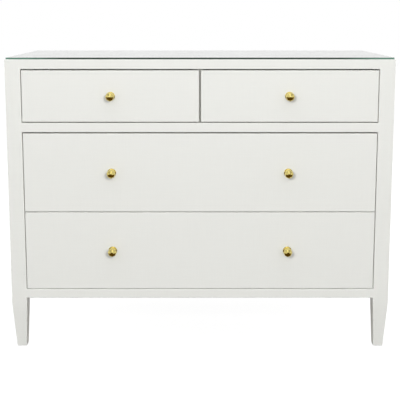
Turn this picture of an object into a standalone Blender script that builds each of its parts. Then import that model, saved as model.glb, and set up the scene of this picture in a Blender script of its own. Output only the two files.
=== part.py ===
"""A low dresser: two small drawers over two wide ones, in a post-and-rail case on tapered legs.

Metres, +Z up, fronts facing -Y. The origin is on the floor, under the middle of the whole piece.
The drawer boxes are hung on telescopic side slides. Each drawer, and each pair of middle slide
members, hangs under an empty of its own, and both slide along -Y.
"""
import math

import bmesh
import bpy
from mathutils import Vector

# Case
CASE_WIDTH = 1.118
CASE_DEPTH = 0.508
LEG_HEIGHT = 0.153              # floor to the underside of the case
RAIL_HEIGHT = 0.0275
RAIL_DEPTH = 0.060
TOP_THICKNESS = 0.0275
UPPER_OPENING = 0.1545
LOWER_OPENING = 0.469
SIDE_PANEL = 0.018
BACK_PANEL = 0.008
BACK_RECESS = 0.003
SHELF = 0.012                   # bottom panel and dust panel
DIVIDER = 0.019
BATTEN_WIDTH = 0.070
BATTEN_PLACE = 0.055            # from a post to the batten next to it
TENON_LENGTH = 0.022            # of the rails, in the front posts
TENON_THICKNESS = 0.012
TENON_SHOULDER = 0.004          # above and below a tenon
TENON_PLACE = 0.012             # behind the front face
EDGE_ROUND = 0.0009
FIT = 0.0003                    # gap left between pieces that touch
CUT = 0.002                     # how far a cutter runs past what it cuts

# Posts and legs
POST = 0.0445
OUTER_TAPER = 0.0100            # how far the outer faces come in at the foot
INNER_TAPER = 0.0065
TAPER_EASE = 0.040              # height over which the taper sets in
EASE_STEPS = 5
POST_ROUND = 0.0014

# Glass
GLASS = 0.005
GLASS_INSET = 0.003
GLASS_CORNER = 0.004
GLASS_ARRIS = 0.0006
CORNER_STEPS = 4

# Drawer fronts
FRONT = 0.020
SIDE_REVEAL = 0.002
TOP_REVEAL = 0.0035
BOTTOM_REVEAL = 0.0015
SMALL_BOTTOM_REVEAL = 0.0027
CENTRE_REVEAL = 0.0058          # between the two small fronts
STACK_REVEAL = 0.002            # between the two wide fronts

# Drawer boxes
BOX_REAR_SPACE = 0.027          # between a box and the back panel
BOX_BOARD = 0.012
BOX_DROP = 0.012                # from the box's lower edge down to the front's
SMALL_BOX_HEIGHT = 0.110
WIDE_BOX_HEIGHT = 0.190
BOTTOM_BOARD = 0.006
BOTTOM_RAISE = 0.010
GROOVE = 0.006
GROOVE_STOP = 0.003             # how far the bottom's grooves stay off the dovetailed corners

# Joints of the drawer boxes
TONGUE_DEPTH = 0.010            # the sides' sliding dovetails in the fronts
TONGUE_NECK = 0.0070
TONGUE_TIP = 0.0098
PIN_TIP = 0.006                 # the backs' pins at their narrow side
TAIL_RISE_SHARE = 1 / 7         # slope of the tails
SMALL_TAILS = 3
WIDE_TAILS = 5

# Telescopic slides, as long as the boxes
SLIDE_SPACE = 0.0127            # between the case and a drawer box
SLIDE_HEIGHT = 0.045
SLIDE_SETBACK = 0.002           # behind the back of the front
STEEL = 0.0012
CHANNEL_DEPTH = 0.0100
HOOK = 0.0014
HOOK_BEND = 0.0012              # inner radius of the hooked lips
CORNER_BEND = 0.0006            # inner radius of the other bends
BEND_STEPS = 3
SLOT_LENGTH = 0.010             # screw slots in the case member's back
SLOT_HEIGHT = 0.0045
SLOT_STEPS = 5
BALL = 0.0035
BALL_PLACE = 0.0070             # from the case to the middle of a row of balls
WEB_SPACE = 0.0010
MEMBER_DEPTH = 0.0081           # the drawer member's channel
BALL_STEPS = 6

# Knobs
KNOB_OFFSET = 0.257             # from the middle of the dresser
ROSE_RADIUS = 0.0130
ROSE_RIM = 0.0020
ROSE_HEIGHT = 0.0032
ROSE_TOP_RADIUS = 0.0106
NECK_RADIUS = 0.0042
BALL_CENTRE = 0.0210
HEAD_RADIUS = 0.0134
HEAD_SIDES = 8
ROUND_SIDES = 24
TIER_ANGLES = (18, 60, 88, 112, 136)    # degrees back from the axis in front to each ring of corners
BOLT_RADIUS = 0.0020
BOLT_HEAD_RADIUS = 0.0040
BOLT_HEAD = 0.0022
BOLT_SLACK = 0.0004

# Worked out from the sizes above
CASE_TOP = LEG_HEIGHT + RAIL_HEIGHT + LOWER_OPENING + RAIL_HEIGHT + UPPER_OPENING + TOP_THICKNESS
UNDER_TOP = CASE_TOP - TOP_THICKNESS
LOWER_SILL = LEG_HEIGHT + RAIL_HEIGHT
LOWER_HEAD = LOWER_SILL + LOWER_OPENING
UPPER_SILL = LOWER_HEAD + RAIL_HEIGHT
KNOB_REACH = BALL_CENTRE + HEAD_RADIUS * math.cos(math.radians(TIER_ANGLES[0]))
FRONT_FACE = -(CASE_DEPTH - KNOB_REACH - FIT) / 2
REAR_FACE = FRONT_FACE + CASE_DEPTH
HALF_WIDTH = CASE_WIDTH / 2
HALF_OPENING = HALF_WIDTH - POST
BACK_OF_FRONTS = FRONT_FACE + FRONT
BACK_PANEL_FACE = REAR_FACE - BACK_RECESS - BACK_PANEL
BOX_LENGTH = BACK_PANEL_FACE - BOX_REAR_SPACE - BACK_OF_FRONTS
SLIDE_END = SLIDE_SETBACK + BOX_LENGTH

for old in list(bpy.data.objects):
    bpy.data.objects.remove(old, do_unlink=True)


def material(name, colour, roughness, metallic=0.0, transmission=0.0):
    made = bpy.data.materials.new(name)
    made.use_nodes = True
    made.diffuse_color = (*colour, 1)
    shader = made.node_tree.nodes["Principled BSDF"]
    shader.inputs["Base Color"].default_value = (*colour, 1)
    shader.inputs["Roughness"].default_value = roughness
    shader.inputs["Metallic"].default_value = metallic
    shader.inputs["Transmission Weight"].default_value = transmission
    return made


LACQUER = material("white_lacquered_linen", (0.80, 0.80, 0.77), 0.38)
BIRCH = material("birch", (0.72, 0.56, 0.38), 0.5)
PANEL = material("white_board", (0.78, 0.77, 0.73), 0.6)
CLEAR_GLASS = material("green_edged_glass", (0.72, 0.84, 0.77), 0.03, transmission=1.0)
BRASS = material("polished_brass", (0.72, 0.54, 0.20), 0.18, 1.0)
ZINC = material("zinc_plated_steel", (0.62, 0.64, 0.66), 0.3, 1.0)


def link(name, mesh, look, place=(0, 0, 0), parent=None):
    made = bpy.data.objects.new(name, mesh)
    bpy.context.collection.objects.link(made)
    made.location = place
    made.parent = parent
    if look:
        mesh.materials.clear()
        mesh.materials.append(look)
    return made


def as_mesh(name, bm):
    bmesh.ops.recalc_face_normals(bm, faces=bm.faces)
    mesh = bpy.data.meshes.new(name)
    bm.to_mesh(mesh)
    bm.free()
    return mesh


def add_box(bm, xs, ys, zs):
    """Add a closed box between two places on each axis."""
    made = bmesh.ops.create_cube(bm, size=1.0)
    corners = made["verts"]
    for corner in corners:
        for axis, (low, high) in enumerate((xs, ys, zs)):
            corner.co[axis] = high if corner.co[axis] > 0 else low


def add_prism(bm, outline, along, span):
    """Add a prism: an outline in the two other axes, in X, Y, Z order, carried along one axis."""
    others = [axis for axis in range(3) if axis != along]
    rings = []
    for depth in span:
        ring = []
        for point in outline:
            corner = [0.0, 0.0, 0.0]
            corner[along] = depth
            corner[others[0]], corner[others[1]] = point
            ring.append(bm.verts.new(corner))
        rings.append(ring)
    bm.faces.new(rings[0])
    bm.faces.new(rings[1])
    bridge(bm, rings[0], rings[1])


def bridge(bm, first, second):
    """Join two rings of corners, where the second may have a whole number of times as many."""
    ratio = len(second) // len(first)
    for index, corner in enumerate(first):
        following = first[(index + 1) % len(first)]
        run = [second[(index * ratio + step) % len(second)] for step in range(ratio + 1)]
        if ratio == 1:
            bm.faces.new((corner, following, run[1], run[0]))
            continue
        middle = ratio // 2
        for step in range(middle):
            bm.faces.new((corner, run[step + 1], run[step]))
        bm.faces.new((corner, following, run[middle]))
        for step in range(middle, ratio):
            bm.faces.new((following, run[step + 1], run[step]))


def round_edges(piece, width):
    rounding = piece.modifiers.new("rounded edges", "BEVEL")
    rounding.width = width
    rounding.segments = 1
    rounding.limit_method = "ANGLE"


def board(name, look, xs, ys, zs, place=(0, 0, 0), parent=None, rounding=EDGE_ROUND):
    """A rectangular board with its arrises taken off."""
    bm = bmesh.new()
    add_box(bm, xs, ys, zs)
    made = link(name, as_mesh(name, bm), look, place, parent)
    round_edges(made, rounding)
    return made


def combine(piece, bm, operation="DIFFERENCE"):
    """Cut closed shapes out of a piece, or join them to it, in the piece's own frame."""
    name = f"{piece.name} {operation.lower()} {len(piece.modifiers)}"
    tool = link(name, as_mesh(name, bm), None, piece.location, piece.parent)
    tool.hide_render = True
    tool.display_type = "WIRE"
    step = piece.modifiers.new(name, "BOOLEAN")
    step.operation = operation
    step.object = tool
    step.solver = "EXACT"


def empty(name, place, parent=None):
    made = bpy.data.objects.new(name, None)
    bpy.context.collection.objects.link(made)
    made.location = place
    made.parent = parent
    return made


case = empty("case", (0, 0, 0))


def taper_at(depth, full):
    """How far a leg's face has come in at a depth below the case: a soft start, then straight."""
    rate = full / (LEG_HEIGHT - TAPER_EASE / 2)
    if depth < TAPER_EASE:
        return rate * depth * depth / (2 * TAPER_EASE)
    return rate * (depth - TAPER_EASE / 2)


def rail_levels():
    """The two rails' lower and upper faces."""
    return ((LEG_HEIGHT, LOWER_SILL), (LOWER_HEAD, UPPER_SILL))


def tenon_zs(levels, slack=0.0):
    low, high = levels
    return (low + TENON_SHOULDER - slack, high - TENON_SHOULDER + slack)


def tenon_ys(slack=0.0):
    front = FRONT_FACE + TENON_PLACE
    return (front - slack, front + TENON_THICKNESS + slack)


def make_rail(name, levels):
    """A rail between the front posts, with a tenon at each end that seats in a post's mortise."""
    shoulder = HALF_OPENING - FIT
    reach = HALF_OPENING + TENON_LENGTH - FIT
    rail = board(name, LACQUER, (-shoulder, shoulder), (FRONT_FACE, FRONT_FACE + RAIL_DEPTH), levels,
                 parent=case)
    bm = bmesh.new()
    add_box(bm, (-reach, reach), tenon_ys(), tenon_zs(levels))
    combine(rail, bm, "UNION")


def make_leg(name, side, end):
    """A corner post that runs down into a leg, tapered on all four faces below the case."""
    depths = [TAPER_EASE * step / EASE_STEPS for step in range(EASE_STEPS + 1)] + [LEG_HEIGHT]
    levels = [(UNDER_TOP - FIT, 0)] + [(LEG_HEIGHT - depth, depth) for depth in depths]
    outer_x = side * HALF_WIDTH
    outer_y = FRONT_FACE if end < 0 else REAR_FACE
    bm = bmesh.new()
    rings = []
    for height, depth in levels:
        outer = taper_at(depth, OUTER_TAPER)
        inner = POST - taper_at(depth, INNER_TAPER)
        corners = ((outer, outer), (inner, outer), (inner, inner), (outer, inner))
        rings.append([bm.verts.new((outer_x - side * x, outer_y - end * y, height)) for x, y in corners])
    for upper, lower in zip(rings, rings[1:]):
        bridge(bm, upper, lower)
    bm.faces.new(rings[0])
    bm.faces.new(rings[-1])
    leg = link(name, as_mesh(name, bm), LACQUER, parent=case)
    round_edges(leg, POST_ROUND)
    if end < 0:
        bm = bmesh.new()
        mortise_xs = sorted((side * (HALF_OPENING - CUT), side * (HALF_OPENING + TENON_LENGTH)))
        for levels in rail_levels():
            add_box(bm, mortise_xs, tenon_ys(FIT), tenon_zs(levels, FIT))
        combine(leg, bm)


def shelf_outline():
    """The bottom panel in plan, cut round the bottom rail and the four posts."""
    wide = HALF_WIDTH - SIDE_PANEL - FIT
    narrow = HALF_OPENING - FIT
    rail_back = FRONT_FACE + RAIL_DEPTH + FIT
    post_back = FRONT_FACE + POST + FIT
    post_front = REAR_FACE - POST - FIT
    rear = BACK_PANEL_FACE - FIT
    right = [(HALF_OPENING, rail_back), (HALF_OPENING, post_back), (wide, post_back), (wide, post_front),
             (narrow, post_front), (narrow, rear)]
    return right + [(-x, y) for x, y in reversed(right)]


def make_case():
    for side, side_name in ((-1, "left"), (1, "right")):
        make_leg(f"front_{side_name}_leg", side, -1)
        make_leg(f"rear_{side_name}_leg", side, 1)
        outer = side * HALF_WIDTH
        inner = side * (HALF_WIDTH - SIDE_PANEL)
        panel_xs = sorted((inner, outer))
        panel_ys = (FRONT_FACE + POST + FIT, REAR_FACE - POST - FIT)
        board(f"{side_name}_side_panel", LACQUER, panel_xs, panel_ys, (LEG_HEIGHT, UNDER_TOP - FIT),
              parent=case)
        batten_xs = sorted((side * HALF_OPENING, inner - side * FIT))
        for end_name, near_post in (("front", FRONT_FACE + POST + BATTEN_PLACE),
                                    ("rear", REAR_FACE - POST - BATTEN_PLACE - BATTEN_WIDTH)):
            batten_ys = (near_post, near_post + BATTEN_WIDTH)
            board(f"{side_name}_{end_name}_slide_batten", PANEL, batten_xs, batten_ys,
                  (LOWER_SILL + FIT, UNDER_TOP - FIT), parent=case)

    for name, levels in zip(("bottom_rail", "middle_rail"), rail_levels()):
        make_rail(name, levels)
    between_posts = (-HALF_OPENING + FIT, HALF_OPENING - FIT)
    board("dust_panel", PANEL, between_posts, (FRONT_FACE + RAIL_DEPTH + FIT, BACK_PANEL_FACE - FIT),
          (UPPER_SILL - SHELF, UPPER_SILL), parent=case)
    board("back_panel", PANEL, between_posts, (BACK_PANEL_FACE, REAR_FACE - BACK_RECESS),
          (LEG_HEIGHT, UNDER_TOP - FIT), parent=case)
    board("centre_divider", PANEL, (-DIVIDER / 2, DIVIDER / 2),
          (BACK_OF_FRONTS + SLIDE_SETBACK, BACK_PANEL_FACE - FIT),
          (UPPER_SILL + FIT, UNDER_TOP - FIT), parent=case)
    board("top_panel", LACQUER, (-HALF_WIDTH, HALF_WIDTH), (FRONT_FACE, REAR_FACE),
          (UNDER_TOP, CASE_TOP), parent=case)

    bm = bmesh.new()
    add_prism(bm, shelf_outline(), 2, (LOWER_SILL - SHELF, LOWER_SILL))
    link("bottom_panel", as_mesh("bottom_panel", bm), PANEL, parent=case)


def make_glass():
    """A glass pane with rounded corners and ground arrises, laid on the top."""
    half_x = HALF_WIDTH - GLASS_INSET - GLASS_CORNER
    half_y = CASE_DEPTH / 2 - GLASS_INSET - GLASS_CORNER
    outline = []
    for quarter, (side, end) in enumerate(((1, 1), (-1, 1), (-1, -1), (1, -1))):
        for step in range(CORNER_STEPS + 1):
            angle = math.radians(90) * (quarter + step / CORNER_STEPS)
            outline.append((side * half_x + GLASS_CORNER * math.cos(angle),
                            end * half_y + GLASS_CORNER * math.sin(angle)))
    bm = bmesh.new()
    add_prism(bm, outline, 2, (0, GLASS))
    middle_y = (FRONT_FACE + REAR_FACE) / 2
    pane = link("glass_top", as_mesh("glass_top", bm), CLEAR_GLASS, (0, middle_y, CASE_TOP + FIT), case)
    round_edges(pane, GLASS_ARRIS)


def tail_half(y, pitch):
    """Half the width of a tail at a place along the side board, in a stack of this pitch."""
    tip = (pitch - PIN_TIP) / 2
    return tip - (BOX_LENGTH - y) * TAIL_RISE_SHARE


def back_sill():
    return BOTTOM_RAISE + BOTTOM_BOARD + FIT


def tail_centres(box_height, tails):
    pitch = (box_height - back_sill()) / tails
    return pitch, [back_sill() + pitch * (index + 1 / 2) for index in range(tails)]


def tongue_half(y):
    """Half the width of a side's sliding dovetail at a place along it, wider towards its tip."""
    share = (FIT - y) / (FIT + TONGUE_DEPTH)
    return (TONGUE_NECK + (TONGUE_TIP - TONGUE_NECK) * share) / 2


def slide_x(side, half_box, reach):
    """A place across a slide, given by its reach from the case towards the drawer."""
    return side * (half_box + SLIDE_SPACE - reach)


def bent(corners):
    """An outline with rounded corners, from corners that each carry a radius, which may be zero."""
    outline = []
    for index, (x, z, radius) in enumerate(corners):
        corner = Vector((x, z))
        if radius == 0:
            outline.append((x, z))
            continue
        before = (Vector(corners[index - 1][:2]) - corner).normalized()
        after = (Vector(corners[(index + 1) % len(corners)][:2]) - corner).normalized()
        half = before.angle(after) / 2
        centre = corner + (before + after).normalized() * radius / math.sin(half)
        start = (corner + before * radius / math.tan(half) - centre).normalized()
        end = (corner + after * radius / math.tan(half) - centre).normalized()
        for step in range(BEND_STEPS + 1):
            outline.append(tuple(centre + start.slerp(end, step / BEND_STEPS) * radius))
    return outline


def mirrored(upper):
    """A channel's whole outline, from the corners of its upper half, run from the inside out."""
    return bent(upper + [(x, -z, radius) for x, z, radius in reversed(upper)])


def ball_row(level, direction):
    """The bulge that a row of caged balls makes on a flange, from the case side to the drawer side."""
    bulge = BALL - FIT
    points = []
    for step in range(BALL_STEPS + 1):
        angle = math.pi * (1 - step / BALL_STEPS)
        points.append((BALL_PLACE + BALL / 2 * math.cos(angle),
                       level + direction * bulge * math.sin(angle), 0))
    return points


def case_member_outline():
    """A channel open towards the drawer, its lips hooked over the balls."""
    tall = SLIDE_HEIGHT / 2
    inner = tall - STEEL
    back = FIT
    mouth = FIT + CHANNEL_DEPTH
    lip = mouth - STEEL
    return mirrored([(back + STEEL, inner, CORNER_BEND), (lip, inner, HOOK_BEND), (lip, inner - HOOK, 0),
                     (mouth, inner - HOOK, 0), (mouth, tall, HOOK_BEND + STEEL),
                     (back, tall, CORNER_BEND + STEEL)])


def middle_member_outline():
    """A channel between the other two, with a row of caged balls on both faces of each flange."""
    outer = SLIDE_HEIGHT / 2 - STEEL - BALL
    inner = outer - STEEL
    back = FIT + STEEL + WEB_SPACE
    mouth = FIT + CHANNEL_DEPTH
    upper = [(back + STEEL, inner, CORNER_BEND)] + ball_row(inner, -1) + [(mouth, inner, 0), (mouth, outer, 0)]
    upper += list(reversed(ball_row(outer, 1))) + [(back, outer, CORNER_BEND + STEEL)]
    return mirrored(upper)


def drawer_member_outline():
    """A channel open towards the case. Its back runs into the side board that carries it."""
    outer = SLIDE_HEIGHT / 2 - 2 * STEEL - 2 * BALL
    inner = outer - STEEL
    back = SLIDE_SPACE + CUT
    web = SLIDE_SPACE - STEEL
    mouth = SLIDE_SPACE - MEMBER_DEPTH
    return mirrored([(web, inner, CORNER_BEND), (mouth, inner, 0), (mouth, outer, 0), (back, outer, 0)])


def slot_places():
    """The middles of the screw slots along the dresser: over the front post and both battens."""
    return ((BACK_OF_FRONTS + SLIDE_SETBACK + FRONT_FACE + POST) / 2,
            FRONT_FACE + POST + BATTEN_PLACE + BATTEN_WIDTH / 2,
            REAR_FACE - POST - BATTEN_PLACE - BATTEN_WIDTH / 2)


def add_screw_slots(bm, side, half_box, level):
    """Slots through the case member's back, for the screws into the posts and battens."""
    xs = sorted(slide_x(side, half_box, reach) for reach in (-CUT, FIT + STEEL + CUT))
    straight = (SLOT_LENGTH - SLOT_HEIGHT) / 2
    for place in slot_places():
        centre = place - BACK_OF_FRONTS
        outline = []
        for end in (1, -1):
            for step in range(SLOT_STEPS + 1):
                angle = math.pi * (step / SLOT_STEPS - 1 / 2)
                outline.append((centre + end * (straight + SLOT_HEIGHT / 2 * math.cos(angle)),
                                level + end * SLOT_HEIGHT / 2 * math.sin(angle)))
        add_prism(bm, outline, 0, xs)


def add_slide_member(bm, outline, side, half_box, level, end=SLIDE_END):
    placed = [(slide_x(side, half_box, reach), level + height) for reach, height in outline]
    add_prism(bm, placed, 1, (SLIDE_SETBACK, end))


def side_outline(side, half_box):
    """A side board in plan, with the sliding dovetail at its front end."""
    outer = side * half_box
    inner = side * (half_box - BOX_BOARD)
    middle = (outer + inner) / 2
    outline = [(outer, BOX_LENGTH), (outer, FIT)]
    for place, y in ((side, FIT), (side, -TONGUE_DEPTH), (-side, -TONGUE_DEPTH), (-side, FIT)):
        outline.append((middle + place * tongue_half(y), y))
    return outline + [(inner, FIT), (inner, BOX_LENGTH)]


def add_pin_notches(bm, xs, box_height, tails):
    """The notches between the tails, which the pins of the back fill."""
    pitch, centres = tail_centres(box_height, tails)
    shoulder = BOX_LENGTH - BOX_BOARD - FIT
    end = BOX_LENGTH + CUT
    lower_edges = [(back_sill() - FIT, back_sill() - FIT)]
    lower_edges += [(centre + tail_half(shoulder, pitch), centre + tail_half(end, pitch)) for centre in centres]
    upper_edges = [(centre - tail_half(shoulder, pitch), centre - tail_half(end, pitch)) for centre in centres]
    upper_edges.append((box_height + CUT, box_height + CUT))
    for lower, upper in zip(lower_edges, upper_edges):
        outline = [(shoulder, lower[0]), (end, lower[1]), (end, upper[1]), (shoulder, upper[0])]
        add_prism(bm, outline, 0, xs)


def add_tail_sockets(bm, xs, box_height, tails):
    """The sockets in one end of the back, which the tails of a side fill."""
    pitch, centres = tail_centres(box_height, tails)
    start = BOX_LENGTH - BOX_BOARD - CUT
    end = BOX_LENGTH + CUT
    for centre in centres:
        near = tail_half(start, pitch) + FIT
        far = tail_half(end, pitch) + FIT
        outline = [(start, centre - near), (end, centre - far), (end, centre + far), (start, centre + near)]
        add_prism(bm, outline, 0, xs)


def make_drawer(name, place, half_box, box_height, front_xs, front_height, knobs, tails):
    """A drawer: a dovetailed box with its bottom in grooves, an inset front, and its slides.

    Its empty stands on the box's lower edge, in the middle of the box, at the back of the front.
    """
    body = empty(name, place)
    slides = empty(f"{name}_slides", place)
    inner = half_box - BOX_BOARD
    level = box_height / 2
    bottom_zs = (BOTTOM_RAISE, BOTTOM_RAISE + BOTTOM_BOARD)
    groove_zs = (BOTTOM_RAISE - FIT, BOTTOM_RAISE + BOTTOM_BOARD + FIT)

    front = board(f"{name}_front", LACQUER, front_xs, (-FRONT, 0), (-BOX_DROP, front_height - BOX_DROP),
                  parent=body)
    bm = bmesh.new()
    for side in (-1, 1):
        middle = side * (half_box - BOX_BOARD / 2)
        mouth = tongue_half(CUT) + FIT
        tip = tongue_half(-TONGUE_DEPTH - FIT) + FIT
        outline = [(middle - mouth, CUT), (middle + mouth, CUT), (middle + tip, -TONGUE_DEPTH - FIT),
                   (middle - tip, -TONGUE_DEPTH - FIT)]
        add_prism(bm, outline, 2, (-BOX_DROP - CUT, box_height + FIT))
    add_box(bm, (-inner + GROOVE_STOP, inner - GROOVE_STOP), (-GROOVE, CUT), groove_zs)
    for knob_x, knob_z in knobs:
        hole = []
        for index in range(ROUND_SIDES):
            angle = 2 * math.pi * index / ROUND_SIDES
            hole.append((knob_x + (BOLT_RADIUS + BOLT_SLACK) * math.cos(angle),
                         knob_z + (BOLT_RADIUS + BOLT_SLACK) * math.sin(angle)))
        add_prism(bm, hole, 1, (-FRONT - CUT, CUT))
    combine(front, bm)

    for side, side_name in ((-1, "left"), (1, "right")):
        bm = bmesh.new()
        add_prism(bm, side_outline(side, half_box), 2, (0, box_height))
        board_name = f"{name}_{side_name}_side"
        side_board = link(board_name, as_mesh(board_name, bm), BIRCH, parent=body)
        bm = bmesh.new()
        notch_xs = sorted((side * (inner - CUT), side * (half_box + CUT)))
        add_pin_notches(bm, notch_xs, box_height, tails)
        combine(side_board, bm)
        bm = bmesh.new()
        groove_xs = sorted((side * (inner - CUT), side * (inner + GROOVE)))
        add_box(bm, groove_xs, (GROOVE_STOP, BOX_LENGTH + CUT), groove_zs)
        combine(side_board, bm)
        bm = bmesh.new()
        add_slide_member(bm, drawer_member_outline(), side, half_box, level, BOX_LENGTH - BOX_BOARD - CUT)
        combine(side_board, bm, "UNION")

        member_name = f"{name}_{side_name}_slide_case_member"
        bm = bmesh.new()
        add_slide_member(bm, case_member_outline(), side, half_box, level)
        case_member = link(member_name, as_mesh(member_name, bm), ZINC, place, case)
        bm = bmesh.new()
        add_screw_slots(bm, side, half_box, level)
        combine(case_member, bm)
        member_name = f"{name}_{side_name}_slide_middle_member"
        bm = bmesh.new()
        add_slide_member(bm, middle_member_outline(), side, half_box, level)
        link(member_name, as_mesh(member_name, bm), ZINC, parent=slides)

    back_ys = (BOX_LENGTH - BOX_BOARD, BOX_LENGTH)
    back = board(f"{name}_back", BIRCH, (-half_box, half_box), back_ys, (back_sill(), box_height),
                 parent=body, rounding=FIT)
    bm = bmesh.new()
    for side in (-1, 1):
        add_tail_sockets(bm, sorted((side * (inner - FIT), side * (half_box + CUT))), box_height, tails)
    combine(back, bm)

    edge = inner + GROOVE - FIT
    nose = inner - GROOVE_STOP - FIT
    shoulder = GROOVE_STOP + FIT
    right = [(nose, FIT - GROOVE), (nose, shoulder), (edge, shoulder), (edge, BOX_LENGTH)]
    outline = right + [(-x, y) for x, y in reversed(right)]
    bm = bmesh.new()
    add_prism(bm, outline, 2, bottom_zs)
    link(f"{name}_bottom", as_mesh(f"{name}_bottom", bm), BIRCH, parent=body)
    return body


def knob_mesh():
    """A turned rose and neck under a faceted ball, with the bolt that holds the knob behind them."""
    bolt_end = -FRONT - FIT - FIT - BOLT_HEAD
    turned = [(bolt_end, BOLT_HEAD_RADIUS), (bolt_end + BOLT_HEAD, BOLT_HEAD_RADIUS),
              (bolt_end + BOLT_HEAD, BOLT_RADIUS), (0, BOLT_RADIUS), (0, ROSE_RADIUS),
              (ROSE_RIM, ROSE_RADIUS), (ROSE_HEIGHT, ROSE_TOP_RADIUS), (ROSE_HEIGHT, NECK_RADIUS)]
    neck_reach = BALL_CENTRE + HEAD_RADIUS * math.cos(math.radians(TIER_ANGLES[-1]))
    turned.append((neck_reach, NECK_RADIUS))
    bm = bmesh.new()
    round_rings = [add_ring(bm, -FIT - reach, radius, ROUND_SIDES) for reach, radius in turned]
    for near, far in zip(round_rings, round_rings[1:]):
        bridge(bm, near, far)
    bm.faces.new(round_rings[0])

    tiers = []
    for angle in TIER_ANGLES:
        turn = math.radians(angle)
        reach = BALL_CENTRE + HEAD_RADIUS * math.cos(turn)
        tiers.append(add_ring(bm, -FIT - reach, HEAD_RADIUS * math.sin(turn), HEAD_SIDES))
    bm.faces.new(tiers[0])
    for near, far in zip(tiers, tiers[1:]):
        bridge(bm, near, far)
    bridge(bm, tiers[-1], round_rings[-1])
    return as_mesh("knob", bm)


def add_ring(bm, y, radius, sides):
    """A ring of corners round the knob's own axis, with one corner straight up."""
    ring = []
    for index in range(sides):
        angle = 2 * math.pi * index / sides
        ring.append(bm.verts.new((radius * math.sin(angle), y, radius * math.cos(angle))))
    return ring


def make_drawers():
    small_half_box = (HALF_OPENING - DIVIDER / 2 - 2 * SLIDE_SPACE) / 2
    wide_half_box = HALF_OPENING - SLIDE_SPACE
    small_height = UPPER_OPENING - TOP_REVEAL - SMALL_BOTTOM_REVEAL
    wide_height = (LOWER_OPENING - TOP_REVEAL - BOTTOM_REVEAL - STACK_REVEAL) / 2
    shared_knob = knob_mesh()
    shared_knob.materials.append(BRASS)

    small_middle = (HALF_OPENING + DIVIDER / 2) / 2
    small_sill = UPPER_SILL + SMALL_BOTTOM_REVEAL + BOX_DROP
    knob_z = small_height / 2 - BOX_DROP
    for side, name in ((-1, "upper_left_drawer"), (1, "upper_right_drawer")):
        place = (side * small_middle, BACK_OF_FRONTS, small_sill)
        edges = (side * CENTRE_REVEAL / 2, side * (HALF_OPENING - SIDE_REVEAL))
        front_xs = sorted(edge - place[0] for edge in edges)
        knob_x = side * KNOB_OFFSET - place[0]
        body = make_drawer(name, place, small_half_box, SMALL_BOX_HEIGHT, front_xs, small_height,
                           [(knob_x, knob_z)], SMALL_TAILS)
        link(f"{name}_knob", shared_knob, None, (knob_x, -FRONT, knob_z), body)

    knob_z = wide_height / 2 - BOX_DROP
    half_front = HALF_OPENING - SIDE_REVEAL
    for row, name in enumerate(("lower_drawer", "middle_drawer")):
        sill = LOWER_SILL + BOTTOM_REVEAL + row * (wide_height + STACK_REVEAL) + BOX_DROP
        body = make_drawer(name, (0, BACK_OF_FRONTS, sill), wide_half_box, WIDE_BOX_HEIGHT,
                           (-half_front, half_front), wide_height,
                           [(-KNOB_OFFSET, knob_z), (KNOB_OFFSET, knob_z)], WIDE_TAILS)
        for side, side_name in ((-1, "left"), (1, "right")):
            link(f"{name}_{side_name}_knob", shared_knob, None, (side * KNOB_OFFSET, -FRONT, knob_z), body)


make_case()
make_glass()
make_drawers()
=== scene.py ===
# A low white dresser: linen lacquer, brass knobs and a glass top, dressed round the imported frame
import math

import bmesh
import bpy
from mathutils import Matrix, Vector


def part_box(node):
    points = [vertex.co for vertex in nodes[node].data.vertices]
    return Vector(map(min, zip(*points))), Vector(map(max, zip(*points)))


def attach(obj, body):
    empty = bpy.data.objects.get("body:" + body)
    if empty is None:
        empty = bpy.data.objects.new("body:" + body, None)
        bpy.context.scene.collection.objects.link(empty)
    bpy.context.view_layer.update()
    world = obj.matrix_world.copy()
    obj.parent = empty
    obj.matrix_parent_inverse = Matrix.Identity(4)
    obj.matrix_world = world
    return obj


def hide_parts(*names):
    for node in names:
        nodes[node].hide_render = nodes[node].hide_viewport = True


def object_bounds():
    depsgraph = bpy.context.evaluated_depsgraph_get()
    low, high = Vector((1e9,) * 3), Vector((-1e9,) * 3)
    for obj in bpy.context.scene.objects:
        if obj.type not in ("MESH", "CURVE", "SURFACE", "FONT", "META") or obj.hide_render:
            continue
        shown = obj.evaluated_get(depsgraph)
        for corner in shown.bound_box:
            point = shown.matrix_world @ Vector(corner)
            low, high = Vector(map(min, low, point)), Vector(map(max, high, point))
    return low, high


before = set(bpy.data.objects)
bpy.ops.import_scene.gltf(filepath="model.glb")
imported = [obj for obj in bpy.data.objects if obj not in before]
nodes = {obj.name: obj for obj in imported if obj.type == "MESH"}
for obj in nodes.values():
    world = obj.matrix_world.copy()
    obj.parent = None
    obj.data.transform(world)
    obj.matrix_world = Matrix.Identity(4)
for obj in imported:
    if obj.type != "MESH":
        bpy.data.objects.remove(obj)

cadBox = [list(corner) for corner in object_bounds()]
drawers = ("upper_left_drawer", "upper_right_drawer", "middle_drawer", "lower_drawer")
bothSides = ((-1, "left"), (1, "right"))
print("frame loaded with", len(nodes), "solids")


# helpers for node trees
def feed(tree, socket, value):
    if isinstance(value, bpy.types.NodeSocket):
        tree.links.new(value, socket)
    else:
        socket.default_value = value


def addNode(tree, kind, inputs=None, **settings):
    node = tree.nodes.new(kind)
    for setting, value in settings.items():
        setattr(node, setting, value)
    for socket, value in (inputs or {}).items():
        feed(tree, node.inputs[socket], value)
    return node


def calc(tree, operation, *values):
    node = addNode(tree, "ShaderNodeMath", operation=operation)
    for socket, value in zip(node.inputs, values):
        feed(tree, socket, value)
    return node.outputs[0]


def vector(tree, x, y, z):
    return addNode(tree, "ShaderNodeCombineXYZ", {0: x, 1: y, 2: z}).outputs[0]


def blend(tree, share, first, second):
    return addNode(tree, "ShaderNodeMix", {0: share, 6: first, 7: second}, data_type="RGBA").outputs[2]


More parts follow.
